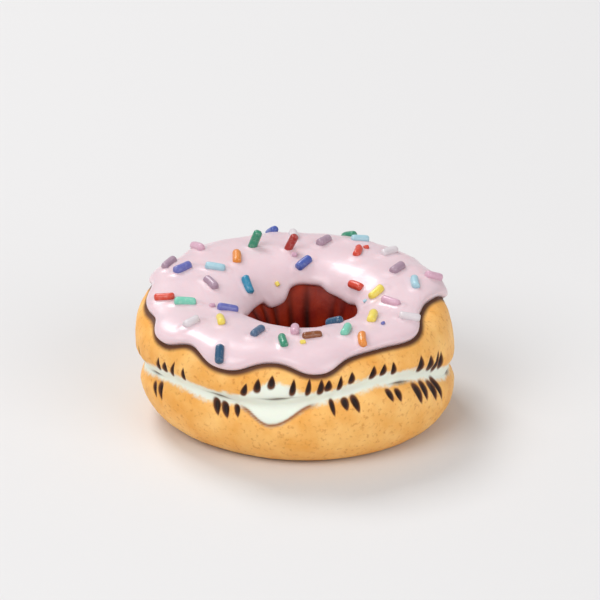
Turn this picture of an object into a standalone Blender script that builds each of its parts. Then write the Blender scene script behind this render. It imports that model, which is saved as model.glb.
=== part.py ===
"""An iced ring doughnut: a raised dough ring with a pinched, puckered waist, under pink icing.

The icing runs over the ring's top edge in uneven drips, and down into its hole. Sugar strands are
scattered over it. The dough is one solid, and the icing with its strands is another.

Metres, +Z up. The origin is on the surface that the doughnut rests on, under the middle of its
footprint. The front faces -Y. Azimuths run from +X towards +Y, in degrees. A turn runs round the
ring's section: 0 is its outside, 90 its crest, 180 the wall of the hole, 270 its base.
"""

import math
import random

import bmesh
import bpy
from mathutils import Matrix, Vector

MM = 0.001

# The ring's section is a superellipse, squarest at its outer shoulder, and cut flat underneath.
OUTER_RADIUS = 44.3 * MM
HOLE_RADIUS = 12.6 * MM
HOLE_OFFSET = Vector((3.2 * MM, -2.4 * MM))
HALF_RING_WIDTH = (OUTER_RADIUS - HOLE_RADIUS) / 2.0
CREST_RISE = 17.6 * MM
BASE_DROP = 16.8 * MM
OUTER_SQUARENESS = 3.8
LOWER_SQUARENESS = 2.6
HOLE_SQUARENESS = 2.4

# The crest is higher at the back, and the whole ring leans a little to the left.
CREST_TILT = 1.6 * MM
LEAN = 1.5 * MM

# How far the ring is from round, as (waves round the ring, height of a wave, azimuth of a peak).
OUTLINE_WAVES = ((2, 0.45 * MM, 10.0), (3, 0.35 * MM, 75.0), (5, 0.22 * MM, 200.0))
CREST_WAVES = ((3, 0.35 * MM, 140.0), (5, 0.2 * MM, 20.0))

# The seam runs round the waist, where the dough floated in the oil. It lies in a groove.
SEAM_MEAN = 0.95 * MM
SEAM_WAVES = ((1, 1.8 * MM, 261.0), (2, 2.4 * MM, 283.0), (3, 1.15 * MM, 322.0), (4, 1.4 * MM, 36.0))
GROOVE_DEPTH = 2.1 * MM
GROOVE_HALF_HEIGHT = 2.7 * MM

# Short puckers stand in a row above the groove and in another below it, one step apart. The dough has
# burst a little at the front, where both rows stand higher.
PUCKER_STEP = 4.5
PUCKER_REACH = 4.1 * MM
PUCKER_DEPTH = 0.85 * MM
PUCKER_HALF_WIDTH = 0.75 * MM
PUCKER_HALF_LENGTH = 2.6 * MM
PUCKER_FADE = 2.0
BURST_AZIMUTH = 262.0
BURST_LIFT = 3.2 * MM
# The runs of puckers in each row, as (azimuth of the first, how many).
PUCKERS_ABOVE = (
    (211.5, 4), (252.0, 3), (270.0, 6), (301.5, 3), (324.0, 4), (0.0, 3),
    (27.0, 5), (63.0, 3), (90.0, 6), (126.0, 3), (153.0, 4), (184.5, 3),
)
PUCKERS_BELOW = (
    (207.0, 2), (238.5, 3), (283.5, 3), (306.0, 2), (319.5, 4), (9.0, 3),
    (45.0, 4), (81.0, 2), (108.0, 4), (144.0, 3), (175.5, 3),
)
# The rows as (side, runs, degrees over which the burst lifts them). The side is 1 above, -1 below.
PUCKER_ROWS = ((1.0, PUCKERS_ABOVE, 11.0), (-1.0, PUCKERS_BELOW, 26.0))

# The icing is a skin over the crest, between an outer edge and one in the hole, with fat rims.
ICING_GAP = 0.4 * MM
ICING_THICKNESS = 2.0 * MM
ICING_LIP = 0.35 * MM
EDGE_ROUNDNESS = 4.0
OUTER_EDGE_TURN = 53.0
HOLE_EDGE_TURN = 131.0
# Drips as (azimuth, degrees of turn that the edge falls, half-width in degrees). A bay rises instead.
OUTER_DRIPS = (
    (212.5, 10.5, 9.5), (243.5, 12.5, 12.0), (279.0, 10.0, 9.5), (304.0, -5.0, 15.0),
    (346.0, -15.0, 15.0), (14.0, 10.0, 8.0), (42.0, 16.0, 9.0), (70.0, 8.0, 8.0),
    (97.0, 15.0, 9.0), (128.0, 17.0, 10.0), (158.0, 9.0, 8.0), (186.0, 3.0, 9.0),
)
OUTER_DRIP_POWER = 2.6
HOLE_DRIPS = (
    (150.0, 10.5, 55.5), (117.0, 6.5, 20.5), (34.0, 4.5, 22.0), (290.0, 7.0, 18.0), (235.0, 4.0, 12.0),
)
HOLE_DRIP_POWER = 6.0

# The sugar strands are spread over the icing like the seeds of a sunflower, and sunk in a little.
STRAND_COUNT = 38
STRAND_LENGTH = 5.8 * MM
STRAND_RADIUS = 1.25 * MM
STRAND_END = 0.6 * MM
STRAND_SINK = 0.65 * MM
STRAND_SIDES = 6
STRAND_RINGS = 3
FIRST_STRAND_AZIMUTH = 24.0
GOLDEN_ANGLE = 180.0 * (3.0 - math.sqrt(5.0))
STRAND_PITCH = 5.0
STANDING_PITCH = 68.0
STANDING_STRANDS = (11, 19)
# The rule's own radii, of which the first falls beside the hole and the last at the icing's outer edge.
FIRST_STRAND_RADIUS = 18.0
LAST_STRAND_RADIUS = 44.0
# How much of the icing's width stays free beside its outer edge and beside the hole.
OUTER_CLEARANCE = 0.09
HOLE_CLEARANCE = 0.17
# How far a strand may lie from the rule's place: in degrees, and as a share of the width.
AZIMUTH_SCATTER = 9.0
WIDTH_SCATTER = 0.14
PLACE_SEED = 6460
HEADING_SEED = 66390

# The middle of the uneven ring's footprint, which is brought to the origin.
FOOTPRINT_MIDDLE = Vector((-0.49 * MM, 0.24 * MM, 0.0))

# Steps round the ring and round its section, and how far the section's steps crowd to the seam.
DOUGH_STEPS = (160, 24)
ICING_STEPS = (96, 22)
SEAM_CROWDING = 24.0
SHORT_STEP = 0.5
SMOOTH_ANGLE = 40.0

CRUST_COLOUR = (0.905, 0.456, 0.122)
CRUST_ROUGHNESS = 0.55
ICING_COLOUR = (0.839, 0.665, 0.694)
ICING_ROUGHNESS = 0.35


def wave(azimuth, waves):
    """The sum of a few waves round the ring, at an azimuth."""
    return sum(height * math.cos(math.radians(count * (azimuth - peak))) for count, height, peak in waves)


def apart(azimuth, other):
    """Degrees from one azimuth to another, from -180 to 180."""
    return (azimuth - other + 180.0) % 360.0 - 180.0


def in_a_run(azimuth, runs):
    """Whether a pucker stands at an azimuth."""
    return any(0.0 <= (azimuth - first) % 360.0 < count * PUCKER_STEP for first, count in runs)


def pucker_dent(azimuth, height, side, runs, burst_width):
    """How far one row of puckers dents the dough, at a height from the seam."""
    lift = BURST_LIFT * math.exp(-((apart(azimuth, BURST_AZIMUTH) / burst_width) ** 2))
    along = (height - side * PUCKER_REACH - lift) / PUCKER_HALF_LENGTH
    nearest = round(azimuth / PUCKER_STEP) * PUCKER_STEP
    if abs(along) > PUCKER_FADE or not in_a_run(nearest, runs):
        return 0.0
    across = math.radians(apart(azimuth, nearest)) * OUTER_RADIUS / PUCKER_HALF_WIDTH
    return PUCKER_DEPTH * math.exp(-(along**2) - across**2)


def seam_height(azimuth):
    """The seam's height at an azimuth, from the middle of the section."""
    return SEAM_MEAN + wave(azimuth, SEAM_WAVES)


def waist_dent(azimuth, height):
    """How far the waist is dented, at a height from the middle of the section."""
    height -= seam_height(azimuth)
    groove = GROOVE_DEPTH * math.exp(-((height / GROOVE_HALF_HEIGHT) ** 2))
    return groove + sum(pucker_dent(azimuth, height, *row) for row in PUCKER_ROWS)


def dough_point(azimuth, turn):
    """A point of the dough's surface."""
    heading = Vector((math.cos(math.radians(azimuth)), math.sin(math.radians(azimuth))))
    outer = OUTER_RADIUS + wave(azimuth, OUTLINE_WAVES)
    inner = HOLE_RADIUS + HOLE_OFFSET.dot(heading)
    half_width = (outer - inner) / 2.0
    cosine = math.cos(math.radians(turn))
    sine = math.sin(math.radians(turn))
    half_height = CREST_RISE
    outer_power = LOWER_SQUARENESS
    if sine > 0.0:
        half_height += CREST_TILT * heading.y + wave(azimuth, CREST_WAVES)
        outer_power = OUTER_SQUARENESS
    power = outer_power if cosine > 0.0 else HOLE_SQUARENESS
    reach = (abs(cosine / half_width) ** power + abs(sine / half_height) ** power) ** (-1.0 / power)
    radius = (outer + inner) / 2.0 + reach * cosine
    height = reach * sine
    if cosine > 0.0:
        radius -= waist_dent(azimuth, height)
    lean = -LEAN * height / CREST_RISE
    height = max(height, -BASE_DROP)
    return Vector((radius * heading.x + lean, radius * heading.y, height + BASE_DROP)) - FOOTPRINT_MIDDLE


def dough_normal(azimuth, turn):
    """The outward direction of the dough's surface, from two short steps along it."""
    round_ring = dough_point(azimuth + SHORT_STEP, turn) - dough_point(azimuth - SHORT_STEP, turn)
    round_section = dough_point(azimuth, turn + SHORT_STEP) - dough_point(azimuth, turn - SHORT_STEP)
    return round_ring.cross(round_section).normalized()


def seam_led_point(azimuth, turn):
    """A point of the dough's surface, for turns that start at the seam and crowd together beside it."""
    seam_turn = math.degrees(math.asin(seam_height(azimuth) / HALF_RING_WIDTH))
    share = (1.0 + math.cos(math.radians(turn))) / 2.0
    return dough_point(azimuth, turn - SEAM_CROWDING * math.sin(math.radians(turn)) + seam_turn * share)


def drips(azimuth, lobes, power):
    """How far the icing's edge falls at an azimuth, in degrees of turn."""
    total = 0.0
    for middle, fall, half_width in lobes:
        total += fall * math.exp(-(abs(apart(azimuth, middle) / half_width) ** power))
    return total


def under_icing(azimuth, share):
    """The turn of the dough under the icing, at a share of the way from its outer edge to the hole's."""
    outer_edge = OUTER_EDGE_TURN - drips(azimuth, OUTER_DRIPS, OUTER_DRIP_POWER)
    hole_edge = HOLE_EDGE_TURN + drips(azimuth, HOLE_DRIPS, HOLE_DRIP_POWER)
    return outer_edge + (hole_edge - outer_edge) * share


def icing_point(azimuth, turn):
    """A point of the icing. Turns from 0 to 180 cross its top from the outer edge to the hole's, and the
    rest come back underneath."""
    share = (1.0 - math.cos(math.radians(turn))) / 2.0
    from_middle = abs(2.0 * share - 1.0)
    lift = ICING_GAP
    if turn > 0.0:
        body = max(0.0, 1.0 - from_middle**EDGE_ROUNDNESS) ** (1.0 / EDGE_ROUNDNESS)
        lift += (ICING_THICKNESS + ICING_LIP * from_middle**2) * body
    dough_turn = under_icing(azimuth, share)
    return dough_point(azimuth, dough_turn) + dough_normal(azimuth, dough_turn) * lift


def plain_material(name, colour, roughness):
    """A non-metallic material of one colour."""
    material = bpy.data.materials.new(name)
    material.use_nodes = True
    shader = material.node_tree.nodes["Principled BSDF"]
    shader.inputs["Base Color"].default_value = (*colour, 1.0)
    shader.inputs["Roughness"].default_value = roughness
    shader.inputs["Metallic"].default_value = 0.0
    return material


def ring(name, steps, point, material, collection):
    """A torus whose vertices are moved to where point(azimuth, turn) puts them."""
    major_radius = OUTER_RADIUS - HALF_RING_WIDTH
    bpy.ops.mesh.primitive_torus_add(
        major_segments=steps[0],
        minor_segments=steps[1],
        major_radius=major_radius,
        minor_radius=HALF_RING_WIDTH,
    )
    torus = bpy.context.object
    torus.name = name
    for vertex in torus.data.vertices:
        x, y, z = vertex.co
        turn = math.atan2(z, math.hypot(x, y) - major_radius)
        vertex.co = point(math.degrees(math.atan2(y, x)), math.degrees(turn))
    torus.data.materials.append(material)
    torus.data.shade_smooth()
    torus.data.set_sharp_from_angle(angle=math.radians(SMOOTH_ANGLE))
    for home in list(torus.users_collection):
        home.objects.unlink(torus)
    collection.objects.link(torus)
    return torus


def strand_mesh():
    """A blunt rod with few sides, along X: a coarse sphere whose two rings are drawn apart."""
    mesh = bpy.data.meshes.new("strand")
    shape = bmesh.new()
    bmesh.ops.create_uvsphere(shape, u_segments=STRAND_SIDES, v_segments=STRAND_RINGS, radius=1.0)
    bmesh.ops.rotate(shape, verts=shape.verts, matrix=Matrix.Rotation(math.radians(90.0), 3, "Y"))
    spread = STRAND_RADIUS / math.sin(math.pi / STRAND_RINGS)
    for vertex in shape.verts:
        x, y, z = vertex.co
        from_end = 2.0 * STRAND_END * (1.0 - abs(x))
        vertex.co = (math.copysign(STRAND_LENGTH / 2.0 - from_end, x), y * spread, z * spread)
    shape.to_mesh(mesh)
    shape.free()
    return mesh


def strand_place(index, place_draw, heading_draw):
    """Where strand number index lies: a golden angle on from the last one and further out, but a little
    off by chance, and turned at random."""
    share = (index + 0.5) / STRAND_COUNT
    radius = math.sqrt(FIRST_STRAND_RADIUS**2 + (LAST_STRAND_RADIUS**2 - FIRST_STRAND_RADIUS**2) * share)
    azimuth = FIRST_STRAND_AZIMUTH + GOLDEN_ANGLE * index
    azimuth += place_draw.uniform(-AZIMUTH_SCATTER, AZIMUTH_SCATTER)
    outwards = (radius - FIRST_STRAND_RADIUS) / (LAST_STRAND_RADIUS - FIRST_STRAND_RADIUS)
    outwards = min(1.0, max(0.0, outwards + place_draw.uniform(-WIDTH_SCATTER, WIDTH_SCATTER)))
    across = OUTER_CLEARANCE + (1.0 - OUTER_CLEARANCE - HOLE_CLEARANCE) * (1.0 - outwards)
    spot = icing_point(azimuth, math.degrees(math.acos(1.0 - 2.0 * across)))
    normal = dough_normal(azimuth, under_icing(azimuth, across))
    heading = heading_draw.uniform(0.0, 180.0)
    pitch = heading_draw.uniform(-STRAND_PITCH, STRAND_PITCH)
    lift = STRAND_RADIUS - STRAND_SINK
    if index in STANDING_STRANDS:
        pitch = STANDING_PITCH
        lift = STRAND_LENGTH / 2.0 * math.sin(math.radians(pitch)) - STRAND_SINK
    along = Vector((-math.sin(math.radians(azimuth)), math.cos(math.radians(azimuth)), 0.0))
    along = (along - along.dot(normal) * normal).normalized()
    flat = Matrix((along, normal.cross(along), normal)).transposed()
    turned = (
        flat
        @ Matrix.Rotation(math.radians(heading), 3, "Z")
        @ Matrix.Rotation(math.radians(-pitch), 3, "Y")
    )
    return Matrix.Translation(spot + normal * lift) @ turned.to_4x4()


def scatter_strands(collection):
    """The loose strands on the icing, each its own object."""
    mesh = strand_mesh()
    place_draw = random.Random(PLACE_SEED)
    heading_draw = random.Random(HEADING_SEED)
    for index in range(STRAND_COUNT):
        strand = bpy.data.objects.new(f"strand_{index:02d}", mesh)
        strand.matrix_world = strand_place(index, place_draw, heading_draw)
        collection.objects.link(strand)


def fuse(target, collection):
    """Joins a collection's objects to the target by one Boolean union, then removes them."""
    union = target.modifiers.new("fused_strands", "BOOLEAN")
    union.operation = "UNION"
    union.solver = "MANIFOLD"
    union.operand_type = "COLLECTION"
    union.collection = collection
    bpy.context.view_layer.objects.active = target
    bpy.ops.object.modifier_apply(modifier=union.name)
    for strand in list(collection.objects):
        bpy.data.objects.remove(strand)
    bpy.data.collections.remove(collection)


def main():
    for old in list(bpy.data.objects):
        bpy.data.objects.remove(old)
    doughnut = bpy.data.collections.new("iced_doughnut")
    strands = bpy.data.collections.new("sugar_strands")
    bpy.context.scene.collection.children.link(doughnut)
    bpy.context.scene.collection.children.link(strands)

    crust = plain_material("fried_crust", CRUST_COLOUR, CRUST_ROUGHNESS)
    sugar = plain_material("pink_icing", ICING_COLOUR, ICING_ROUGHNESS)
    ring("dough_ring", DOUGH_STEPS, seam_led_point, crust, doughnut)
    icing = ring("pink_icing", ICING_STEPS, icing_point, sugar, doughnut)
    scatter_strands(strands)
    fuse(icing, strands)


main()
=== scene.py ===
# %% [markdown]
# # An iced ring doughnut
# This lesson dresses a imported model of an iced doughnut. The imported model is plain: a ring of dough
# and a skin of icing. Here each of them is made again as a fine mesh in the same place, and gets the
# finish of the real food. Azimuths run round the ring in degrees, from +X towards +Y, and the front
# faces -Y. A turn runs round the ring's section: 0 outside, 90 on the crest, 180 in the hole.

# %% Load the frame's parts
import math
import random

import bmesh
import bpy
import numpy as np
from mathutils import Matrix, Vector, noise


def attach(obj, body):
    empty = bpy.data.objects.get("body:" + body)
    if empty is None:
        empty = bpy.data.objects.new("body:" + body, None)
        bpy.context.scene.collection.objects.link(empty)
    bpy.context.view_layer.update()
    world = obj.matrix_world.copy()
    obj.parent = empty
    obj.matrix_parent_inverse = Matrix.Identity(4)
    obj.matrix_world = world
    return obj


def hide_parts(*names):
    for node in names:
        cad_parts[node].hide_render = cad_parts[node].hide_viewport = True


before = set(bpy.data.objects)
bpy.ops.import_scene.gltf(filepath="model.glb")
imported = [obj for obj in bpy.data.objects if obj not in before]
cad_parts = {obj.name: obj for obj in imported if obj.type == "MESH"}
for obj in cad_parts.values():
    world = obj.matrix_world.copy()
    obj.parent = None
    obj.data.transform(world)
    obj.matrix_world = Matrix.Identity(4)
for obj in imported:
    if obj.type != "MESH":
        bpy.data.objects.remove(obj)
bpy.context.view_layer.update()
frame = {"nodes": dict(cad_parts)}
MM = 0.001


print("nodes of the packed model:", ", ".join(frame["nodes"]))

# %% [markdown]
# ## The camera
# The doughnut is seen from a little above, with hardly any perspective. A long lens a metre and a
# half away gives that. The camera could be aimed at the doughnut and shifted, but a plain aim a
# little off its middle puts it at the right place in the picture too, and keeps other views simple.

# %% Place the camera
PICTURE_SIDE = 600.0
PIXELS_PER_MM = 3.55
DOUGHNUT_PIXEL = (294.9, 348.0)
DOUGHNUT_MIDDLE = Vector((0.0, 0.0, 18.0 * MM))
ELEVATION = math.radians(23.5)
CAMERA_DISTANCE = 1500.0 * MM
SENSOR_WIDTH = 36.0

backwards = Vector((0.0, -math.cos(ELEVATION), math.sin(ELEVATION)))
upwards = Vector((0.0, math.sin(ELEVATION), math.cos(ELEVATION)))
right_shift = (PICTURE_SIDE / 2.0 - DOUGHNUT_PIXEL[0]) / PIXELS_PER_MM * MM
up_shift = (DOUGHNUT_PIXEL[1] - PICTURE_SIDE / 2.0) / PIXELS_PER_MM * MM
aim = DOUGHNUT_MIDDLE + Vector((right_shift, 0.0, 0.0)) + upwards * up_shift

camera = bpy.data.objects.new("camera", bpy.data.cameras.new("camera"))
camera.data.sensor_width = SENSOR_WIDTH
camera.data.lens = SENSOR_WIDTH * CAMERA_DISTANCE / (PICTURE_SIDE / PIXELS_PER_MM * MM)
camera.location = aim + backwards * CAMERA_DISTANCE
camera.rotation_mode = "QUATERNION"
camera.rotation_quaternion = (-backwards).to_track_quat("-Z", "Y")
bpy.context.scene.collection.objects.link(camera)
bpy.context.scene.camera = camera
print("lens in mm:", round(camera.data.lens))

# %% [markdown]
# ## Colours and nodes
# Colours are written as sRGB hex values, which is how they are read off a picture. Blender's shaders
# want linear values, so one function turns them. A second small function adds any node, with its
# settings and its links, so that a material reads as a short list of nodes.


# %% Two helpers for materials
def linear(hex_colour):
    """An sRGB hex colour as a linear RGBA tuple, by the curve of the sRGB standard."""
    values = [int(hex_colour[start : start + 2], 16) / 255.0 for start in (1, 3, 5)]
    return (*[v / 12.92 if v <= 0.04045 else ((v + 0.055) / 1.055) ** 2.4 for v in values], 1.0)


def add_node(tree, kind, values=None, links=None, **settings):
    """A new node. Values and links are given by socket: a constant, or another node's output."""
    node = tree.nodes.new(kind)
    for name, setting in settings.items():
        setattr(node, name, setting)
    for socket, value in (values or {}).items():
        node.inputs[socket].default_value = value
    for socket, output in (links or {}).items():
        tree.links.new(output, node.inputs[socket])
    return node


def new_material(name, **constants):
    """A node material with one Principled shader, and the shader's constant sockets."""
    material = bpy.data.materials.new(name)
    material.use_nodes = True
    shader = material.node_tree.nodes["Principled BSDF"]
    for socket, value in constants.items():
        shader.inputs[socket.replace("_", " ")].default_value = value
    return material, material.node_tree, shader


# The Mix node's sockets for colours.
MIX_FACTOR = 0
MIX_A = 6
MIX_B = 7
MIX_RESULT = 2


def blend_colour(tree, below, above, amount):
    """The colour above laid over the colour below, by an amount. Each colour is a hex or an output."""
    values = {}
    links = {MIX_FACTOR: amount}
    for socket, colour in ((MIX_A, below), (MIX_B, above)):
        if isinstance(colour, str):
            values[socket] = linear(colour)
        else:
            links[socket] = colour
    node = add_node(tree, "ShaderNodeMix", values, links, data_type="RGBA", clamp_factor=True)
    return node.outputs[MIX_RESULT]


# %% [markdown]
# ## Floor and studio light
# The doughnut lies on a plain pale surface under soft light, with a faint wide shadow. Small hard
# lamps would give sharp shadows and glints that a pastry on a bright table doesn't show. Three large
# area lamps and an even white sky keep it soft.

# %% Make the floor
FLOOR_SIDE = 12.0
FLOOR_COLOUR = "#E1E0DF"

floor_shape = bmesh.new()
bmesh.ops.create_grid(floor_shape, x_segments=1, y_segments=1, size=FLOOR_SIDE / 2.0)
floor_mesh = bpy.data.meshes.new("floor")
floor_shape.to_mesh(floor_mesh)
floor_shape.free()
floor = bpy.data.objects.new("floor", floor_mesh)
bpy.context.scene.collection.objects.link(floor)
floor_material, _, floor_shader = new_material("matt_white_board", Roughness=0.9, Specular_IOR_Level=0.15)
floor_shader.inputs["Base Color"].default_value = linear(FLOOR_COLOUR)
floor_mesh.materials.append(floor_material)
print("floor side in m:", FLOOR_SIDE)

# %% Hang the lamps, and light the sky
SKY_COLOUR = "#FBFBFF"
SKY_STRENGTH = 0.4
# Each lamp as (azimuth it shines from, elevation, distance, width, watts).
LAMPS = {
    "key": (224.0, 42.0, 2.4, 1.5, 26.5),
    "fill": (316.0, 24.0, 2.4, 1.8, 20.0),
    "back": (124.0, 50.0, 2.4, 0.9, 28.0),
}

for name, (azimuth, elevation, distance, width, watts) in LAMPS.items():
    lamp = bpy.data.lights.new(name, "AREA")
    lamp.size = width
    lamp.energy = watts
    holder = bpy.data.objects.new(name, lamp)
    a, e = math.radians(azimuth), math.radians(elevation)
    direction = Vector((math.cos(a) * math.cos(e), math.sin(a) * math.cos(e), math.sin(e)))
    holder.location = DOUGHNUT_MIDDLE + direction * distance
    holder.rotation_mode = "QUATERNION"
    holder.rotation_quaternion = direction.to_track_quat("Z", "Y")
    bpy.context.scene.collection.objects.link(holder)

world = bpy.data.worlds.new("studio")
world.use_nodes = True
world.node_tree.nodes["Background"].inputs["Color"].default_value = linear(SKY_COLOUR)
world.node_tree.nodes["Background"].inputs["Strength"].default_value = SKY_STRENGTH
bpy.context.scene.world = world
bpy.context.scene.view_settings.view_transform = "Standard"
print("lamps:", ", ".join(LAMPS))

# %% [markdown]
# ## The form of the ring
# A raised doughnut is fried floating, first on one side and then on the other. Its crust sets above
# and below the oil, and the dough between swells later into a pale, pinched waist. The section is
# therefore two soft bulges with a groove between them. It could be sculpted, but a formula is easier
# to read and to change: a superellipse round a circle, with waves that keep it from being perfect.

# %% Name the ring's sizes
OUTER_RADIUS = 44.3 * MM
HOLE_RADIUS = 12.6 * MM
HOLE_OFFSET = Vector((3.2 * MM, -2.4 * MM))
HALF_RING_WIDTH = (OUTER_RADIUS - HOLE_RADIUS) / 2.0
CREST_RISE = 17.6 * MM
BASE_DROP = 16.8 * MM
BASE_ROUNDING = 0.5 * MM
OUTER_SQUARENESS = 3.8
LOWER_SQUARENESS = 2.6
HOLE_SQUARENESS = 2.4
CREST_TILT = 1.6 * MM
LEAN = 1.5 * MM
FOOTPRINT_MIDDLE = (-0.49 * MM, 0.24 * MM, 0.0)

# Waves as (waves round the ring, height, azimuth of a peak).
OUTLINE_WAVES = ((2, 0.45 * MM, 10.0), (3, 0.35 * MM, 75.0), (5, 0.22 * MM, 200.0))
CREST_WAVES = ((3, 0.35 * MM, 140.0), (5, 0.2 * MM, 20.0))
SEAM_MEAN = 0.95 * MM
SEAM_WAVES = ((1, 1.8 * MM, 261.0), (2, 2.4 * MM, 283.0), (3, 1.15 * MM, 322.0), (4, 1.4 * MM, 36.0))
GROOVE_DEPTH = 2.1 * MM
GROOVE_HALF_HEIGHT = 2.7 * MM
print("half the width of the ring in mm:", round(HALF_RING_WIDTH / MM, 2))


# %% Write the section as a formula
def wave(azimuth, waves):
    """The sum of a few waves round the ring."""
    return sum(height * np.cos(np.radians(count * (azimuth - peak))) for count, height, peak in waves)


def apart(azimuth, other):
    """Degrees from one azimuth to another, from -180 to 180."""
    return (azimuth - other + 180.0) % 360.0 - 180.0


def ease(value, low, high):
    """0 below low, 1 above high, and a smooth step between."""
    share = np.clip((value - low) / (high - low), 0.0, 1.0)
    return share * share * (3.0 - 2.0 * share)


def bell(value, half_width):
    """1 where the value is 0, and fading to nothing a few half-widths away."""
    return np.exp(-((value / half_width) ** 2))


def section(azimuth, turn):
    """(distance from the hole's axis, height from the middle) of the section, before any dent."""
    round_x, round_y = np.cos(np.radians(azimuth)), np.sin(np.radians(azimuth))
    cosine, sine = np.cos(np.radians(turn)), np.sin(np.radians(turn))
    outer = OUTER_RADIUS + wave(azimuth, OUTLINE_WAVES)
    inner = HOLE_RADIUS + HOLE_OFFSET.x * round_x + HOLE_OFFSET.y * round_y
    half_width = (outer - inner) / 2.0
    crest = CREST_RISE + CREST_TILT * round_y + wave(azimuth, CREST_WAVES)
    half_height = np.where(sine > 0.0, crest, CREST_RISE)
    outer_power = np.where(sine > 0.0, OUTER_SQUARENESS, LOWER_SQUARENESS)
    power = np.where(cosine > 0.0, outer_power, HOLE_SQUARENESS)
    reach = (np.abs(cosine / half_width) ** power + np.abs(sine / half_height) ** power) ** (-1.0 / power)
    return (outer + inner) / 2.0 + reach * cosine, reach * sine


print("crest above the table at the front in mm:", round((section(270.0, 90.0)[1] + BASE_DROP) / MM, 1))

# %% [markdown]
# ## Puckers beside the groove
# Where the waist swells late, the set crust beside it wrinkles into short puckers, square to the
# groove, darkened by painted shade. They could be only painted, but then the edge and the light would
# show none of them. They are real dents, each a little longer, deeper or more slanted than the next,
# drawn with a seeded random generator so that every run gives the same doughnut.

# %% Name the puckers' sizes
PUCKER_STEP = 4.5
PUCKER_REACH = 4.1 * MM
PUCKER_DEPTH = 1.1 * MM
PUCKER_HALF_WIDTH = 0.9 * MM
PUCKER_HALF_LENGTH = 2.1 * MM
PUCKER_TAPER = 0.45
PUCKER_SPAN = 6.0
PUCKER_SEED = 11
# How far a single pucker strays from these sizes: in degrees, and as shares of a size.
AZIMUTH_STRAY = 0.9
REACH_SHARES = (0.9, 1.1)
DEPTH_SHARES = (0.65, 1.15)
WIDTH_SHARES = (0.7, 1.25)
LENGTH_SHARES = (0.7, 1.15)
SLANTS = (0.1, 0.4)
# The burst at the front lifts the puckers round it, and those round another azimuth are bolder.
BURST_AZIMUTH = 262.0
BURST_LIFT = 3.2 * MM
BOLD_AZIMUTH = 331.0
BOLD_HALF_WIDTH = 13.0
BOLDNESS = 0.4
# The runs of puckers in each row, as (azimuth of the first, how many).
PUCKERS_ABOVE = (
    (211.5, 4), (252.0, 3), (270.0, 6), (301.5, 3), (324.0, 4), (0.0, 3),
    (27.0, 5), (63.0, 3), (90.0, 6), (126.0, 3), (153.0, 4), (184.5, 3),
)
PUCKERS_BELOW = (
    (207.0, 2), (238.5, 3), (283.5, 3), (306.0, 2), (319.5, 4), (9.0, 3),
    (45.0, 4), (81.0, 2), (108.0, 4), (144.0, 3), (175.5, 3),
)
# The rows as (side, runs, degrees over which the burst lifts them). The side is 1 above, -1 below.
PUCKER_ROWS = ((1.0, PUCKERS_ABOVE, 11.0), (-1.0, PUCKERS_BELOW, 26.0))

# %% Draw each pucker
pucker_draw = random.Random(PUCKER_SEED)
puckers = []
for side, runs, burst_width in PUCKER_ROWS:
    for first, count in runs:
        for number in range(count):
            azimuth = first + number * PUCKER_STEP + pucker_draw.uniform(-AZIMUTH_STRAY, AZIMUTH_STRAY)
            lift = BURST_LIFT * bell(apart(azimuth, BURST_AZIMUTH), burst_width)
            bold = 1.0 + BOLDNESS * bell(apart(azimuth, BOLD_AZIMUTH), BOLD_HALF_WIDTH)
            puckers.append(
                {
                    "azimuth": azimuth,
                    "side": side,
                    "height": side * PUCKER_REACH * pucker_draw.uniform(*REACH_SHARES) + lift,
                    "depth": PUCKER_DEPTH * pucker_draw.uniform(*DEPTH_SHARES),
                    "half_width": bold * PUCKER_HALF_WIDTH * pucker_draw.uniform(*WIDTH_SHARES),
                    "half_length": bold * PUCKER_HALF_LENGTH * pucker_draw.uniform(*LENGTH_SHARES),
                    "slant": pucker_draw.uniform(*SLANTS),
                }
            )
print("puckers:", len(puckers))


# %% Shape their dents
def pucker_shapes(azimuth, from_seam):
    """(how far the puckers dent the dough, nearness to a pucker's middle) at heights from the seam."""
    dent = np.zeros_like(from_seam)
    middle = np.zeros_like(from_seam)
    for pucker in puckers:
        near = np.flatnonzero(np.abs(apart(azimuth, pucker["azimuth"])) < PUCKER_SPAN)
        away = (from_seam[near] - pucker["height"]) * pucker["side"]
        sideways = np.radians(apart(azimuth[near], pucker["azimuth"])) * OUTER_RADIUS
        sideways -= pucker["slant"] * away
        taper = 1.0 - PUCKER_TAPER * np.clip(away / pucker["half_length"], -1.0, 1.0)
        shape = bell(away, pucker["half_length"]) * bell(sideways, pucker["half_width"] * taper)
        dent[near] += pucker["depth"] * shape
        middle[near] = np.maximum(middle[near], shape)
    return dent, middle


# %% [markdown]
# ## The pale band
# The band of dough round the waist hardly touched the oil, so it stays nearly white. It could be a
# plain stripe, but an upper and a lower edge, each measured from the wavy seam, let it swell and dip
# and still follow the groove. At the front the dough has burst a little: the band is taller there,
# and its lower edge dips in a fold like a wide V.

# %% Place the band, its fold and the folds along the seam
BAND_MIDDLE = 1.0 * MM
BAND_HALF_HEIGHT = 2.0 * MM
BAND_WAVES = ((3, 0.25 * MM, 30.0), (7, 0.3 * MM, 5.0), (13, 0.15 * MM, 50.0))
BURST_RISE = 4.6 * MM
BURST_HALF_WIDTH = 8.5
FOLD_AZIMUTH = 260.5
FOLD_DROP = 4.4 * MM
FOLD_SHARPNESS = 1.5
FOLD_HALF_WIDTHS = (15.0, 21.0)
FOLD_DEPTH = 0.55 * MM
FOLD_LINE = 0.5 * MM
FOLD_FADE = 0.25
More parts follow.
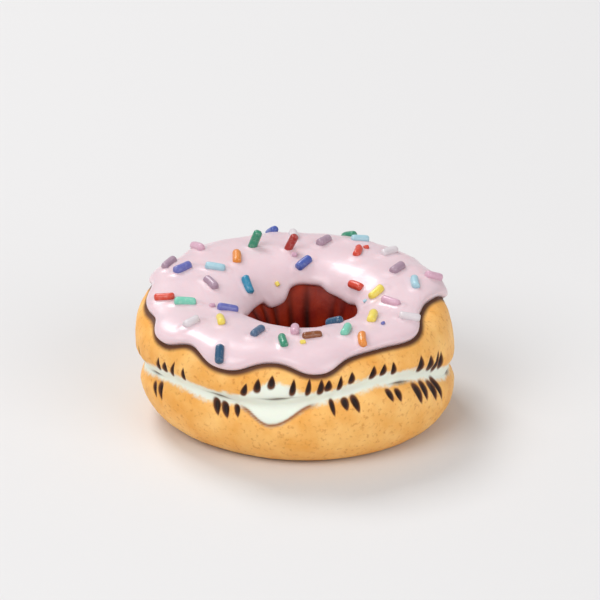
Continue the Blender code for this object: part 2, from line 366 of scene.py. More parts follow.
# Short folds in the band, as (azimuth, half-length in degrees, height from the seam).
SEAM_FOLDS = (
    (240.0, 4.5, 0.9 * MM), (263.5, 5.5, 2.9 * MM), (313.0, 4.5, -0.9 * MM), (206.0, 4.0, 0.2 * MM),
    (350.0, 5.0, -0.8 * MM), (24.0, 6.0, 0.3 * MM), (66.0, 5.0, -0.9 * MM), (103.0, 7.0, -0.2 * MM),
    (140.0, 4.0, -1.0 * MM), (176.0, 6.0, 0.4 * MM),
)
SEAM_FOLD_DEPTH = 0.45 * MM
SEAM_FOLD_LINE = 0.32 * MM
SEAM_FOLD_TIP = 0.4


# %% Turn them into heights and lines
def seam_height(azimuth):
    """The seam's height from the middle of the section."""
    return SEAM_MEAN + wave(azimuth, SEAM_WAVES)


def fold_dip(azimuth):
    """How far the fold dips: 1 at its lowest point, and 0 past its ends."""
    from_fold = apart(azimuth, FOLD_AZIMUTH)
    half_width = np.where(from_fold < 0.0, *FOLD_HALF_WIDTHS)
    return np.cos(np.clip(from_fold / half_width, -1.0, 1.0) * math.pi / 2.0) ** 2


def band_edges(azimuth):
    """Heights of the pale band's lower and upper edge, from the seam."""
    wobble = wave(azimuth, BAND_WAVES)
    from_burst = apart(azimuth, BURST_AZIMUTH)
    middle = BAND_MIDDLE + wobble
    lower = middle - BAND_HALF_HEIGHT - FOLD_DROP * fold_dip(azimuth) ** FOLD_SHARPNESS
    upper = middle + BAND_HALF_HEIGHT + BURST_RISE * bell(from_burst, BURST_HALF_WIDTH)
    return lower, upper


def fold_lines(azimuth, from_seam):
    """(the V fold, the folds along the seam), each 1 on its line and fading to 0 beside it."""
    lower, _ = band_edges(azimuth)
    vee = bell(from_seam - lower, FOLD_LINE) * ease(fold_dip(azimuth), 0.0, FOLD_FADE)
    along = np.zeros_like(from_seam)
    for middle, half_length, height in SEAM_FOLDS:
        reach = bell(apart(azimuth, middle), half_length)
        along = np.maximum(along, reach * bell(from_seam - height, SEAM_FOLD_LINE * (SEAM_FOLD_TIP + reach)))
    return vee, along


def waist_dent(azimuth, height):
    """How far the groove, the puckers and the folds dent the outside."""
    from_seam = height - seam_height(azimuth)
    vee, along = fold_lines(azimuth, from_seam)
    dent, _ = pucker_shapes(azimuth, from_seam)
    groove = GROOVE_DEPTH * bell(from_seam, GROOVE_HALF_HEIGHT)
    return groove + dent + FOLD_DEPTH * vee + SEAM_FOLD_DEPTH * along


band_bottom, band_top = band_edges(FOLD_AZIMUTH)
print("height of the band at its fold in mm:", round((band_top - band_bottom) / MM, 1))

# %% [markdown]
# ## Creases in the hole
# The wall of the hole shrinks into upright creases as it fries. Its deep red-brown is painted shade,
# for the shade inside the hole, and its creases get near-black painted shade. Bump alone would leave
# it smooth where light grazes it, so its creases are dents too, at uneven steps round the hole.

# %% Draw the creases
HOLE_CREASE_COUNT = 15
HOLE_CREASE_DEPTH = 0.75 * MM
HOLE_CREASE_HALF_WIDTH = 4.8
HOLE_CREASE_TURN = 172.0
HOLE_CREASE_HALF_TURN = 34.0
HOLE_CREASE_SEED = 5
# How far a single crease strays: as a share of a step round the hole, in depth, and in turn.
CREASE_STRAY = 0.25
CREASE_STRENGTHS = (0.75, 1.0)
CREASE_SHIFT = 6.0

crease_draw = random.Random(HOLE_CREASE_SEED)
hole_creases = []
for number in range(HOLE_CREASE_COUNT):
    hole_creases.append(
        (
            (number + crease_draw.uniform(-CREASE_STRAY, CREASE_STRAY)) * 360.0 / HOLE_CREASE_COUNT,
            crease_draw.uniform(*CREASE_STRENGTHS),
            crease_draw.uniform(-CREASE_SHIFT, CREASE_SHIFT),
        )
    )
print("creases in the hole:", len(hole_creases))


def hole_crease(azimuth, turn):
    """The creases of the hole's wall, 1 along the deepest and fading to 0 beside each."""
    around = turn % 360.0
    total = np.zeros_like(around)
    for middle, strength, shift in hole_creases:
        along = bell(around - HOLE_CREASE_TURN - shift, HOLE_CREASE_HALF_TURN)
        total += strength * bell(apart(azimuth, middle), HOLE_CREASE_HALF_WIDTH) * along
    return np.clip(total, 0.0, 1.0)


# %% Finish the formula of the surface
def dough_points(azimuth, turn, dented=True):
    """Points of the dough's surface, one row for each azimuth and turn."""
    radius, height = section(azimuth, turn)
    outside = np.cos(np.radians(turn)) > 0.0
    if dented:
        radius = radius - np.where(outside, waist_dent(azimuth, height), 0.0)
        radius = radius + HOLE_CREASE_DEPTH * hole_crease(azimuth, turn)
    else:
        from_seam = height - seam_height(azimuth)
        radius = radius - np.where(outside, GROOVE_DEPTH * bell(from_seam, GROOVE_HALF_HEIGHT), 0.0)
    x = radius * np.cos(np.radians(azimuth)) - LEAN * height / CREST_RISE
    y = radius * np.sin(np.radians(azimuth))
    z = height + BASE_DROP
    # What would lie lower is pressed flat, with a small rounding where the wall meets the base.
    z = np.where(z < BASE_ROUNDING, np.clip(z + BASE_ROUNDING, 0.0, None) ** 2 / (4.0 * BASE_ROUNDING), z)
    return np.stack([x, y, z], axis=1) - np.array(FOOTPRINT_MIDDLE)


# Half of a short step along the surface, in degrees.
HALF_STEP = 0.5


def surface_normals(azimuth, turn):
    """The outward directions of the surface without its dents, from short steps along it."""
    step = HALF_STEP
    round_ring = dough_points(azimuth + step, turn, False) - dough_points(azimuth - step, turn, False)
    round_section = dough_points(azimuth, turn + step, False) - dough_points(azimuth, turn - step, False)
    normals = np.cross(round_ring, round_section)
    return normals / np.linalg.norm(normals, axis=1, keepdims=True)


# %% [markdown]
# ## A ring mesh
# Both the dough and the icing are rings. A circle of points could be spun round, but 700 steps of
# that are slow. A flat grid is quick: its X becomes the azimuth and its Y the turn, it is rolled up
# both ways, and its two pairs of edges are merged, so that no seam is left. The points then go where
# the formula puts their two angles.


# %% Three helpers for rings, relief and pieces
ROLLED_RADIUS = 3.0
SEAM_GAP = 0.001
LUMP_SMOOTHNESS = 1.0
LUMP_LACUNARITY = 2.0


def rolled_grid(name, ring_steps, section_steps):
    """(mesh, azimuths, turns) of a plain ring, made from a flat grid that is rolled up both ways."""
    shape = bmesh.new()
    bmesh.ops.create_grid(shape, x_segments=ring_steps, y_segments=section_steps, size=180.0)
    seams = [vertex for vertex in shape.verts if vertex.is_boundary]
    for vertex in shape.verts:
        azimuth, turn = math.radians(vertex.co.x), math.radians(vertex.co.y)
        distance = ROLLED_RADIUS + math.cos(turn)
        vertex.co = (distance * math.cos(azimuth), distance * math.sin(azimuth), math.sin(turn))
    bmesh.ops.remove_doubles(shape, verts=seams, dist=SEAM_GAP)
    bmesh.ops.recalc_face_normals(shape, faces=shape.faces)
    mesh = bpy.data.meshes.new(name)
    shape.to_mesh(mesh)
    shape.free()
    places = np.empty(3 * len(mesh.vertices))
    mesh.vertices.foreach_get("co", places)
    x, y, z = places.reshape(-1, 3).T
    return mesh, np.degrees(np.arctan2(y, x)), np.degrees(np.arctan2(z, np.hypot(x, y) - ROLLED_RADIUS))


def lumps(points, size, octaves=2):
    """Smooth random relief from about -1 to 1 at each point, whose lumps are about size across."""
    spots = [Vector(point / size) for point in points]
    return np.array([noise.fractal(spot, LUMP_SMOOTHNESS, LUMP_LACUNARITY, octaves) for spot in spots])


def add_piece(mesh, points, attributes, material, node):
    """Moves a mesh's points into place, and makes it a piece that stands for a node."""
    mesh.vertices.foreach_set("co", points.ravel())
    for name, values in attributes.items():
        mesh.attributes.new(name, "FLOAT", "POINT").data.foreach_set("value", values)
    mesh.materials.append(material)
    mesh.update()
    mesh.shade_smooth()
    piece = bpy.data.objects.new(mesh.name, mesh)
    bpy.context.scene.collection.objects.link(piece)
    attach(piece, "root")
    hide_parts(node)
    print(mesh.name, "has", len(mesh.polygons), "faces")


# %% [markdown]
# ## The edges of the icing
# The icing was spooned on and ran down in drips of uneven length. They could be modelled one by one,
# but a list of soft lobes is easier to move. The outer edge is a turn of the section that falls at
# each drip and rises at a bay, and so is the edge in the hole. The dough needs the outer edge as
# well, because a painted shadow darkens the crust just below the icing's rim.

# %% Place the drips
ICING_THICKNESS = 2.4 * MM
ICING_LIP = 0.35 * MM
ICING_SINK = 0.1 * MM
EDGE_ROUNDNESS = 4.0
OUTER_EDGE_TURN = 53.0
HOLE_EDGE_TURN = 131.0
# Drips as (azimuth, degrees of turn that the edge falls, half-width in degrees). A bay rises instead.
OUTER_DRIPS = (
    (212.5, 10.5, 9.5), (243.5, 12.5, 12.0), (279.0, 10.0, 9.5), (304.0, -5.0, 15.0),
    (346.0, -15.0, 15.0), (14.0, 10.0, 8.0), (42.0, 16.0, 9.0), (70.0, 8.0, 8.0),
    (97.0, 15.0, 9.0), (128.0, 17.0, 10.0), (158.0, 9.0, 8.0), (186.0, 3.0, 9.0),
)
OUTER_DRIP_POWER = 2.6
HOLE_DRIPS = (
    (150.0, 10.5, 55.5), (117.0, 6.5, 20.5), (34.0, 4.5, 22.0), (290.0, 7.0, 18.0), (235.0, 4.0, 12.0),
)
HOLE_DRIP_POWER = 6.0


def drips(azimuth, lobes, power):
    """How far the icing's edge falls, in degrees of turn."""
    total = np.zeros_like(azimuth)
    for middle, fall, half_width in lobes:
        total += fall * np.exp(-(np.abs(apart(azimuth, middle) / half_width) ** power))
    return total


def icing_edges(azimuth):
    """The turns of the icing's outer edge and of its edge in the hole."""
    outer = OUTER_EDGE_TURN - drips(azimuth, OUTER_DRIPS, OUTER_DRIP_POWER)
    return outer, HOLE_EDGE_TURN + drips(azimuth, HOLE_DRIPS, HOLE_DRIP_POWER)


def below_icing(azimuth, turn):
    """Metres from the icing's outer edge to a point of the dough below it, square to the edge."""
    outer, _ = icing_edges(azimuth)
    further, _ = icing_edges(azimuth + 1.0)
    degree_down = math.radians(1.0) * HALF_RING_WIDTH
    slope = (further - outer) * degree_down / (math.radians(1.0) * OUTER_RADIUS)
    return (outer - turn) * degree_down / np.sqrt(1.0 + slope**2)


outer_turns, hole_turns = icing_edges(np.arange(0.0, 360.0))
print("the icing runs from turn", round(outer_turns.min()), "to turn", round(hole_turns.max()))

# %% [markdown]
# ## The dough ring
# The mesh is crowded towards the seam, where the small folds are. Besides its form, the mesh carries
# what its material needs, as numbers for each point: millimetres into the pale band and below the
# icing, and how near the middle of a pucker, a fold or a crease the point lies. Such numbers change
# slowly, so the material can draw a sharp edge where they pass a value. An edge that is worked out
# for the points themselves would show their grid as teeth.

# %% Make the dough ring's mesh
DOUGH_STEPS = (720, 128)
SEAM_CROWDING = 24.0

dough_mesh, azimuth, turn = rolled_grid("fried_dough_ring", *DOUGH_STEPS)
seam_turn = np.degrees(np.arcsin(seam_height(azimuth) / HALF_RING_WIDTH))
turn = turn - SEAM_CROWDING * np.sin(np.radians(turn)) + seam_turn * (1.0 + np.cos(np.radians(turn))) / 2.0
dough = dough_points(azimuth, turn)
print("points of the dough:", len(dough))

# %% Work out the numbers that the crust's material needs
BAND_RAGGEDNESS = 0.5 * MM
BAND_RAG_SIZE = 3.0 * MM
# Points in the hole count as this many millimetres outside the band and below the icing's outer edge.
FAR_AWAY = 100.0
OUTSIDE_FADE = 0.2
# The turns over which painted shade darkens the hole's wall, from the icing down, and fades again at the
# base.
HOLE_SHADE_GROWS = (108.0, 126.0)
HOLE_SHADE_FADES = (212.0, 246.0)

_, height = section(azimuth, turn)
from_seam = height - seam_height(azimuth)
outside = ease(np.cos(np.radians(turn)), 0.0, OUTSIDE_FADE)
around = turn % 360.0
hole_shade_amount = ease(around, *HOLE_SHADE_GROWS) * (1.0 - ease(around, *HOLE_SHADE_FADES))
ragged = BAND_RAGGEDNESS * lumps(dough, BAND_RAG_SIZE)
lower, upper = band_edges(azimuth)
into_band = np.minimum(from_seam + ragged - lower, upper - from_seam - ragged)
vee, along = fold_lines(azimuth, from_seam)
_, pucker = pucker_shapes(azimuth, from_seam)
# Most of these numbers place painted shade: in the hole and its creases, in the puckers and folds, and a
# painted shadow below the icing.
dough_attributes = {
    "into_band": into_band / MM - FAR_AWAY * (1.0 - outside),
    "below_icing": below_icing(azimuth, turn) / MM + FAR_AWAY * (1.0 - outside),
    "pucker": pucker * outside,
    "fold": vee * outside,
    "seam_fold": along * outside,
    "hole_shade_amount": hole_shade_amount,
    "hole_crease": hole_crease(azimuth, turn) * hole_shade_amount,
}
print("numbers for each point:", ", ".join(dough_attributes))

# %% Give the dough its lumps and blisters
LUMP_SIZE = 13.0 * MM
LUMP_HEIGHT = 0.22 * MM
BLISTER_SIZE = 2.6 * MM
BLISTER_HEIGHT = 0.08 * MM
BLISTER_OCTAVES = 3
SMOOTH_BASE = 2.0 * MM

relief = LUMP_HEIGHT * lumps(dough, LUMP_SIZE)
relief += BLISTER_HEIGHT * lumps(dough, BLISTER_SIZE, BLISTER_OCTAVES)
relief *= ease(dough[:, 2], 0.0, SMOOTH_BASE)
dough = dough + surface_normals(azimuth, turn) * relief[:, None]
print("highest lump or blister in mm:", round(relief.max() / MM, 2))

# %% [markdown]
# ## Fried crust
# Raised dough fried in oil has a thin, dry, golden skin with a soft sheen. Its colour varies in
# patches a centimetre wide, with fine freckles where small bubbles browned first. Noise of these two
# sizes gives both, and a finer one roughens the skin. The attributes then lay the pale dough over it,
# and painted shade: dark in the puckers, the folds and the hole's creases, deep red-brown on the wall
# of the hole, and a painted shadow just below the icing's rim. So every change of colour sits on the
# relief that it belongs to. The painted shade of the hole is mixed from two reds, in the same patches.

# %% Start the crust's material with its noises
CRUST_SCATTER = (2.2 * MM, 1.1 * MM, 0.5 * MM)
# Noises as (size, detail).
CRUST_NOISES = {"patches": (9.0 * MM, 4.0), "freckles": (1.1 * MM, 3.0), "grain": (0.45 * MM, 2.0)}
# The noise values at which patches and freckles start and are full, and how strong a freckle gets.
PATCH_LIMITS = (0.35, 0.68)
FRECKLE_LIMITS = (0.56, 0.72)
FRECKLE_STRENGTH = 0.5

crust, tree, shader = new_material(
    "fried_dough_crust", Roughness=0.52, IOR=1.45, Specular_IOR_Level=0.32, Subsurface_Weight=0.12
)
shader.inputs["Subsurface Radius"].default_value = CRUST_SCATTER
shader.inputs["Subsurface Scale"].default_value = 1.0
coordinates = add_node(tree, "ShaderNodeTexCoord").outputs["Object"]
noises = {}
for name, (size, detail) in CRUST_NOISES.items():
    values = {"Scale": 1.0 / size, "Detail": detail}
    noises[name] = add_node(tree, "ShaderNodeTexNoise", values, {"Vector": coordinates}).outputs["Fac"]
patch_amount = add_node(
    tree,
    "ShaderNodeMapRange",
    {"From Min": PATCH_LIMITS[0], "From Max": PATCH_LIMITS[1]},
    {"Value": noises["patches"]},
).outputs["Result"]
freckle_amount = add_node(
    tree,
    "ShaderNodeMapRange",
    {"From Min": FRECKLE_LIMITS[0], "From Max": FRECKLE_LIMITS[1], "To Max": FRECKLE_STRENGTH},
    {"Value": noises["freckles"]},
).outputs["Result"]

# %% Lay the crust's colours over each other
# Millimetres into the band, or below the icing, at which a colour starts and is full.
BAND_EDGE_NOISE = 1.7
BAND_SOFTNESS = 0.85
BAND_LIMITS = (BAND_EDGE_NOISE / 2.0 - BAND_SOFTNESS, BAND_EDGE_NOISE / 2.0 + BAND_SOFTNESS)
# The painted shadow below the icing's rim starts 1.9 mm below its edge and is full at 0.6 mm.
ICING_SHADOW_LIMITS = (1.9, 0.6)
# The same for the nearness to a pucker's middle, which painted shade darkens.
PUCKER_RIM_SHADE_LIMITS = (0.18, 0.45)
PUCKER_MIDDLE_SHADE_LIMITS = (0.3, 0.8)

into_band = add_node(tree, "ShaderNodeAttribute", attribute_name="into_band").outputs["Fac"]
ragged_band = add_node(
    tree,
    "ShaderNodeMath",
    {1: BAND_EDGE_NOISE},
    {0: noises["freckles"], 2: into_band},
    operation="MULTIPLY_ADD",
).outputs["Value"]
colour = blend_colour(tree, "#FFC877", "#F1AB4F", patch_amount)
colour = blend_colour(tree, colour, "#C97B33", freckle_amount)
# Painted shade for the wall of the hole: a deep red-brown for the shade inside it, mixed from two reds in
# the crust's patches.
hole_shade_colour = blend_colour(tree, "#7C1000", "#AC3205", patch_amount)
# Layers as (colour, what gives its amount, limits), from the lowest up. A word names an attribute.
for layer_colour, source, limits in (
    ("#ECF1E3", ragged_band, BAND_LIMITS),
    # Painted shade: a darker brown along the V fold.
    ("#9A5A2E", "fold", None),
    # A painted shadow: dark brown on the crust just below the icing's rim.
    ("#5E3824", "below_icing", ICING_SHADOW_LIMITS),
    # Painted shade over the wall of the hole.
    (hole_shade_colour, "hole_shade_amount", None),
    # Painted shade: grey-brown along the folds by the seam.
    ("#5A4A3C", "seam_fold", None),
    # Painted shade in the puckers: a brown rim, then a near-black middle.
    ("#6E3D20", "pucker", PUCKER_RIM_SHADE_LIMITS),
    ("#26120A", "pucker", PUCKER_MIDDLE_SHADE_LIMITS),
    # Painted shade: near black along the creases in the hole.
    ("#2C0903", "hole_crease", None),
):
    amount = source
    if isinstance(source, str):
        amount = add_node(tree, "ShaderNodeAttribute", attribute_name=source).outputs["Fac"]
    if limits is not None:
        amount = add_node(
            tree,
            "ShaderNodeMapRange",
            {"From Min": limits[0], "From Max": limits[1]},
            {"Value": amount},
            interpolation_type="SMOOTHSTEP",
        ).outputs["Result"]
    colour = blend_colour(tree, colour, layer_colour, amount)
tree.links.new(colour, shader.inputs["Base Color"])

# %% Roughen the crust, and add the dough ring
bump = add_node(
    tree,
    "ShaderNodeBump",
    {"Strength": 0.35, "Distance": 0.25 * MM},
    {"Height": noises["freckles"]},
)
bump = add_node(
    tree,
    "ShaderNodeBump",
    {"Strength": 0.25, "Distance": 0.12 * MM},
    {"Height": noises["grain"], "Normal": bump.outputs["Normal"]},
)
tree.links.new(bump.outputs["Normal"], shader.inputs["Normal"])
print(crust.name, "has", len(tree.nodes), "nodes")
add_piece(dough_mesh, dough, dough_attributes, crust, "dough_ring")

# %% [markdown]
# ## The icing
# Icing runs while it is warm, levels itself and sets with a fat rounded rim, fattest at the tip of
# each drip where it gathered last. A Solidify modifier on a copy of the crest would make a skin too,
# but of one thickness and with a square rim. So the skin is a ring mesh: turns from 0 to 180 cross
# its top, and the rest come back underneath, pressed slightly into the dough so that no gap shows.

# %% Make the icing's mesh
ICING_STEPS = (640, 112)
DRIP_BEAD = 0.9 * MM
BEAD_SHARE = 0.13
DEEPEST_DRIP = 17.0
RIPPLE_SIZE = 8.0 * MM
RIPPLE_HEIGHT = 0.16 * MM


def icing_top(azimuth, share):
    """(points of the dough under the icing, outward directions, heights of the icing's top above them).

    A share of 0 is the icing's outer edge, and 1 its edge in the hole."""
    outer_edge, hole_edge = icing_edges(azimuth)
    dough_turn = outer_edge + (hole_edge - outer_edge) * share
    from_middle = np.abs(2.0 * share - 1.0)
    body = np.clip(1.0 - from_middle**EDGE_ROUNDNESS, 0.0, None) ** (1.0 / EDGE_ROUNDNESS)
    fallen = np.clip(OUTER_EDGE_TURN - outer_edge, 0.0, None) / DEEPEST_DRIP
    thickness = ICING_THICKNESS + ICING_LIP * from_middle**2 + DRIP_BEAD * fallen * bell(share, BEAD_SHARE)
    normals = surface_normals(azimuth, dough_turn)
    return dough_points(azimuth, dough_turn, dented=False), normals, thickness * body


icing_mesh, azimuth, turn = rolled_grid("set_pink_icing", *ICING_STEPS)
under, icing_normals, heights = icing_top(azimuth, (1.0 - np.cos(np.radians(turn))) / 2.0)
ripples = 1.0 + RIPPLE_HEIGHT / ICING_THICKNESS * lumps(under, RIPPLE_SIZE)
lift = np.where(np.sin(np.radians(turn)) > 0.0, heights * ripples, -ICING_SINK)
icing = under + icing_normals * lift[:, None]
print("thickest icing in mm:", round(lift.max() / MM, 1))

# %% [markdown]
# ## Pink sugar icing
# This is fondant icing: sugar and water beaten smooth, poured warm and left to set. It is a dense
# white paste with a little pink in it, so light sinks in slightly and the shadows stay soft. The
# surface dries to a gentle gloss over faint ripples. A coat layer gives that gloss, and very weak
# noise keeps the colour and the shine from being the same all over. The real sugar grain is a few
# hundredths of a millimetre, which is too fine to show, so it is drawn about ten times as coarse.

# %% Mix the icing's material, and add the icing
ICING_SCATTER = (1.6 * MM, 1.0 * MM, 0.9 * MM)
CLOUD_SIZE = 6.0 * MM
SUGAR_GRAIN_SIZE = 0.35 * MM
ICING_ROUGHNESSES = (0.28, 0.46)

fondant, tree, shader = new_material(
    "pink_fondant_icing", IOR=1.5, Subsurface_Weight=0.35, Coat_Weight=0.3, Coat_Roughness=0.2
)
shader.inputs["Subsurface Radius"].default_value = ICING_SCATTER
shader.inputs["Subsurface Scale"].default_value = 1.0
coordinates = add_node(tree, "ShaderNodeTexCoord").outputs["Object"]
clouds = add_node(
    tree, "ShaderNodeTexNoise", {"Scale": 1.0 / CLOUD_SIZE, "Detail": 3.0}, {"Vector": coordinates}
).outputs["Fac"]
sugar_grain = add_node(
    tree, "ShaderNodeTexNoise", {"Scale": 1.0 / SUGAR_GRAIN_SIZE, "Detail": 2.0}, {"Vector": coordinates}
).outputs["Fac"]
colour = blend_colour(tree, "#EAD1D6", "#E0C5CB", clouds)
tree.links.new(colour, shader.inputs["Base Color"])
shine = add_node(
    tree,
    "ShaderNodeMapRange",
    {"To Min": ICING_ROUGHNESSES[0], "To Max": ICING_ROUGHNESSES[1]},
    {"Value": clouds},
)
tree.links.new(shine.outputs["Result"], shader.inputs["Roughness"])
bump = add_node(tree, "ShaderNodeBump", {"Strength": 0.3, "Distance": 0.3 * MM}, {"Height": clouds})
bump = add_node(
    tree,
    "ShaderNodeBump",
    {"Strength": 0.15, "Distance": 0.08 * MM},
    {"Height": sugar_grain, "Normal": bump.outputs["Normal"]},
)
tree.links.new(bump.outputs["Normal"], shader.inputs["Normal"])
print(fondant.name, "has", len(tree.nodes), "nodes")
add_piece(icing_mesh, icing, {}, fondant, "pink_icing")

# %% [markdown]
# ## Where the strands lie
# Strands are shaken over the wet icing, so they lie every way but cover it evenly. Chance alone would
# leave clumps and bare spots. The rule for the seeds of a sunflower spreads them well: each one a
# golden angle on from the last, and a little further out. Chance then moves each a little and turns
# it. Two of them stand on end.

# %% Name the strands' sizes
STRAND_COUNT = 38
STRAND_LENGTH = 5.8 * MM
STRAND_RADIUS = 1.25 * MM
STRAND_SINK = 0.65 * MM
FIRST_STRAND_AZIMUTH = 24.0
GOLDEN_ANGLE = 180.0 * (3.0 - math.sqrt(5.0))
STRAND_PITCH = 5.0
STANDING_PITCH = 68.0
STANDING_STRANDS = (11, 19)
FIRST_STRAND_RADIUS = 18.0
LAST_STRAND_RADIUS = 44.0
OUTER_CLEARANCE = 0.09
HOLE_CLEARANCE = 0.17
AZIMUTH_SCATTER = 9.0
WIDTH_SCATTER = 0.14
PLACE_SEED = 6460
HEADING_SEED = 66390


# %% Place the strands on the icing
def rod_place(azimuth, across, heading, pitch, lift):
    """A matrix that lays a rod along X on the icing, turned by its heading, pitched up and lifted."""
    spots, normals, heights = icing_top(np.array([azimuth]), np.array([across]))
    normal = Vector(normals[0])
    along = Vector((-math.sin(math.radians(azimuth)), math.cos(math.radians(azimuth)), 0.0))
    along = (along - along.dot(normal) * normal).normalized()
    flat = Matrix((along, normal.cross(along), normal)).transposed()
    turned = (
        flat
        @ Matrix.Rotation(math.radians(heading), 3, "Z")
        @ Matrix.Rotation(math.radians(-pitch), 3, "Y")
    )
    return Matrix.Translation(Vector(spots[0]) + normal * (heights[0] + lift)) @ turned.to_4x4()


def strand_place(index):
    """Where strand number index lies."""
    share = (index + 0.5) / STRAND_COUNT
    radius = math.sqrt(FIRST_STRAND_RADIUS**2 + (LAST_STRAND_RADIUS**2 - FIRST_STRAND_RADIUS**2) * share)
    azimuth = FIRST_STRAND_AZIMUTH + GOLDEN_ANGLE * index
    azimuth += place_draw.uniform(-AZIMUTH_SCATTER, AZIMUTH_SCATTER)
    outwards = (radius - FIRST_STRAND_RADIUS) / (LAST_STRAND_RADIUS - FIRST_STRAND_RADIUS)
    outwards = min(1.0, max(0.0, outwards + place_draw.uniform(-WIDTH_SCATTER, WIDTH_SCATTER)))
    across = OUTER_CLEARANCE + (1.0 - OUTER_CLEARANCE - HOLE_CLEARANCE) * (1.0 - outwards)
    heading = heading_draw.uniform(0.0, 180.0)
    pitch = heading_draw.uniform(-STRAND_PITCH, STRAND_PITCH)
    lift = STRAND_RADIUS - STRAND_SINK
    if index in STANDING_STRANDS:
        pitch = STANDING_PITCH
        lift = STRAND_LENGTH / 2.0 * math.sin(math.radians(pitch)) - STRAND_SINK
    return rod_place(azimuth, across, heading, pitch, lift)


place_draw = random.Random(PLACE_SEED)
heading_draw = random.Random(HEADING_SEED)
strand_places = [strand_place(index) for index in range(STRAND_COUNT)]
print("strands:", len(strand_places))

# %% [markdown]
# ## Icing round the strands
# Wet icing climbs a little up each strand, and the small collar is what makes a strand look stuck
# and not laid on. The icing's own points are lifted close to each strand, most at its side.

# %% Raise the collars
COLLAR_RISE = 0.28 * MM
COLLAR_HALF_WIDTH = 0.75 * MM
COLLAR_STARTS = (0.5 * MM, 1.5 * MM)

rise = np.zeros(len(icing))
for place in strand_places:
    middle = np.array(place.translation)
    direction = np.array(place.to_3x3().col[0])
    along = np.clip((icing - middle) @ direction, -STRAND_LENGTH / 2.0, STRAND_LENGTH / 2.0)
    from_rod = icing - middle - along[:, None] * direction
    gap = np.linalg.norm(from_rod, axis=1) - STRAND_RADIUS
    rise = np.maximum(rise, COLLAR_RISE * bell(np.clip(gap, 0.0, None), COLLAR_HALF_WIDTH))
on_top = ease(lift, *COLLAR_STARTS)
icing = icing + icing_normals * (rise * on_top)[:, None]
icing_mesh.vertices.foreach_set("co", icing.ravel())
icing_mesh.update()
print("highest collar in mm:", round((rise * on_top).max() / MM, 2))

# %% [markdown]
# ## The strands
# Sugar strands are pressed out as thin rods and broken short, so their ends are blunt and no two are
# quite alike. A sphere from bmesh, stretched into a blunt rod, has no caps to close. There is one
# joined mesh for each colour, because that is how they would be repainted.

# %% Name the strands' shapes and colours
STRAND_SIDES = 12
STRAND_RINGS = 9
STRAND_SPREAD = 0.6
STRAND_BLUNTNESS = 10.0
STRAND_ROUNDNESS = 2.6
STRAND_SHAPE_SEED = 3
LENGTH_SPREAD = (0.9, 1.08)
RADIUS_SPREAD = (0.9, 1.06)
GREATEST_BEND = 0.35 * MM
STRAND_COLOURS = {
    "tomato_red": "#D4432B",
    "cherry_red": "#A82A22",
    "orange": "#E58A2F",
    "yellow": "#EFD85A",
    "mint": "#7ACBB2",
    "green": "#2F8A6A",
    "teal": "#2383A6",
    "petrol": "#1F4F70",
    "slate": "#4C6684",
    "sky_blue": "#A3CAD6",
    "royal_blue": "#4459A8",
    "violet": "#666BB2",
    "mauve": "#A98C9E",
    "rose": "#D6A9BC",
    "pearl": "#DCD3D6",
    "cocoa": "#87491F",
}
STRAND_ORDER = (
    "tomato_red", "teal", "petrol", "royal_blue", "violet", "yellow", "orange", "rose",
    "tomato_red", "mauve", "yellow", "cherry_red", "yellow", "mauve", "sky_blue", "cocoa",
    "mauve", "mint", "rose", "green", "slate", "pearl", "violet", "mint",
    "pearl", "pearl", "sky_blue", "rose", "green", "sky_blue", "tomato_red", "pearl",
    "royal_blue", "petrol", "rose", "mauve", "orange", "green",
)


# %% Model the strands, colour by colour
def add_rod(shape, place, length, radius, bend):
    """A blunt rod along its own X axis, moved to its place: a sphere, stretched."""
    rod = bmesh.ops.create_uvsphere(shape, u_segments=STRAND_SIDES, v_segments=STRAND_RINGS, radius=1.0)
    quarter = Matrix.Rotation(math.radians(90.0), 3, "Y")
    bmesh.ops.rotate(shape, verts=rod["verts"], cent=(0.0, 0.0, 0.0), matrix=quarter)
    for vertex in rod["verts"]:
        x, y, z = vertex.co
        share = min(1.0, abs(x)) ** STRAND_SPREAD
        spoke = (1.0 - share**STRAND_BLUNTNESS) ** (1.0 / STRAND_ROUNDNESS)
        angle = math.atan2(z, y)
        arch = bend * (0.5 - share * share)
        vertex.co = (
            math.copysign(share * length / 2.0, x),
            spoke * radius * math.cos(angle) + arch,
            spoke * radius * math.sin(angle),
        )
    bmesh.ops.transform(shape, verts=rod["verts"], matrix=place)


shape_draw = random.Random(STRAND_SHAPE_SEED)
strand_shapes = {name: bmesh.new() for name in STRAND_COLOURS}
for name, place in zip(STRAND_ORDER, strand_places):
    length = STRAND_LENGTH * shape_draw.uniform(*LENGTH_SPREAD)
    radius = STRAND_RADIUS * shape_draw.uniform(*RADIUS_SPREAD)
    bend = shape_draw.uniform(-GREATEST_BEND, GREATEST_BEND)
    add_rod(strand_shapes[name], place, length, radius, bend)
print("colours of strands:", len(strand_shapes))

# %% [markdown]
# ## Crumbs of strands
# Strands break in the tub, and a few bits as small as poppy seeds stick to the icing too. They are
# the same rods, cut short, and they join the mesh of their colour.

# %% Add the crumbs
CRUMB_LENGTH = 1.5 * MM
CRUMB_RADIUS = 0.65 * MM
CRUMB_LIFT = 0.4 * CRUMB_RADIUS
CRUMB_SPREAD = (0.75, 1.2)
# Crumbs as (azimuth, share of the icing's width from its outer edge, colour).
CRUMBS = (
    (112.0, 0.84, "yellow"), (351.0, 0.8, "sky_blue"), (275.0, 0.3, "yellow"), (205.0, 0.62, "rose"),
    (50.0, 0.35, "tomato_red"), (160.0, 0.3, "green"), (318.0, 0.3, "violet"), (88.0, 0.7, "rose"),
)

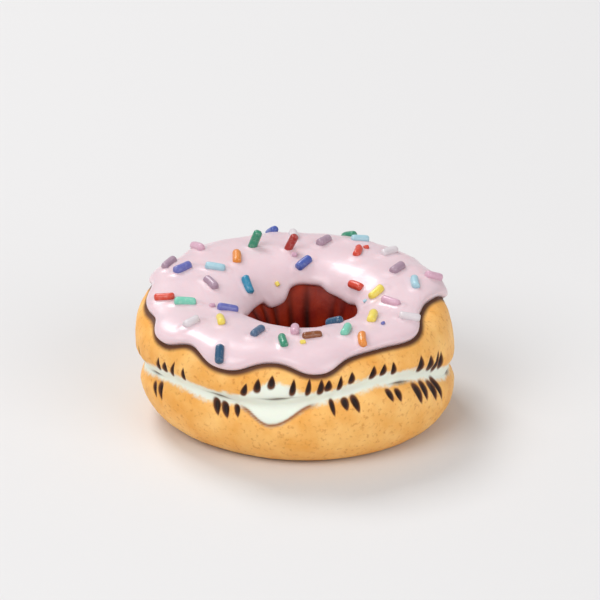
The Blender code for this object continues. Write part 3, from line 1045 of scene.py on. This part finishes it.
for azimuth, across, name in CRUMBS:
    size = shape_draw.uniform(*CRUMB_SPREAD)
    place = rod_place(azimuth, across, shape_draw.uniform(0.0, 180.0), 0.0, CRUMB_LIFT)
    add_rod(strand_shapes[name], place, size * CRUMB_LENGTH, size * CRUMB_RADIUS, 0.0)
print("crumbs:", len(CRUMBS))

# %% [markdown]
# ## Pressed sugar
# A strand is sugar and starch with food colour right through, polished with a little wax, which gives
# it a soft shine. Specks of paler sugar show in it. Each colour is a material of its own, all from one
# function, with the specks and a little relief from the same noise.


# %% Colour the strands
# Real specks are two or three tenths of a millimetre across. They are drawn coarser, so that they show.
SPECK_SIZE = 0.9 * MM
SPECK_COLOUR = "#FFF6EE"
SPECK_LIMITS = (0.5, 0.8)
SPECK_STRENGTH = 0.15


def pressed_sugar(name, hex_colour):
    """The material of one colour of strand."""
    material, tree, shader = new_material(
        f"pressed_sugar_{name}", Roughness=0.36, IOR=1.5, Coat_Weight=0.3, Coat_Roughness=0.2
    )
    coordinates = add_node(tree, "ShaderNodeTexCoord").outputs["Object"]
    specks = add_node(
        tree, "ShaderNodeTexNoise", {"Scale": 1.0 / SPECK_SIZE, "Detail": 2.0}, {"Vector": coordinates}
    ).outputs["Fac"]
    amount = add_node(
        tree,
        "ShaderNodeMapRange",
        {"From Min": SPECK_LIMITS[0], "From Max": SPECK_LIMITS[1], "To Max": SPECK_STRENGTH},
        {"Value": specks},
    )
    colour = blend_colour(tree, hex_colour, SPECK_COLOUR, amount.outputs["Result"])
    tree.links.new(colour, shader.inputs["Base Color"])
    bump = add_node(tree, "ShaderNodeBump", {"Strength": 0.3, "Distance": 0.1 * MM}, {"Height": specks})
    tree.links.new(bump.outputs["Normal"], shader.inputs["Normal"])
    return material


# %% Finish the strands' pieces
for name, shape in strand_shapes.items():
    bmesh.ops.recalc_face_normals(shape, faces=shape.faces)
    mesh = bpy.data.meshes.new(f"sugar_strands_{name}")
    shape.to_mesh(mesh)
    shape.free()
    mesh.materials.append(pressed_sugar(name, STRAND_COLOURS[name]))
    mesh.shade_smooth()
    strands = bpy.data.objects.new(mesh.name, mesh)
    bpy.context.scene.collection.objects.link(strands)
    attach(strands, "root")
    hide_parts("pink_icing")
    print(mesh.name, "has", len(mesh.polygons), "faces")
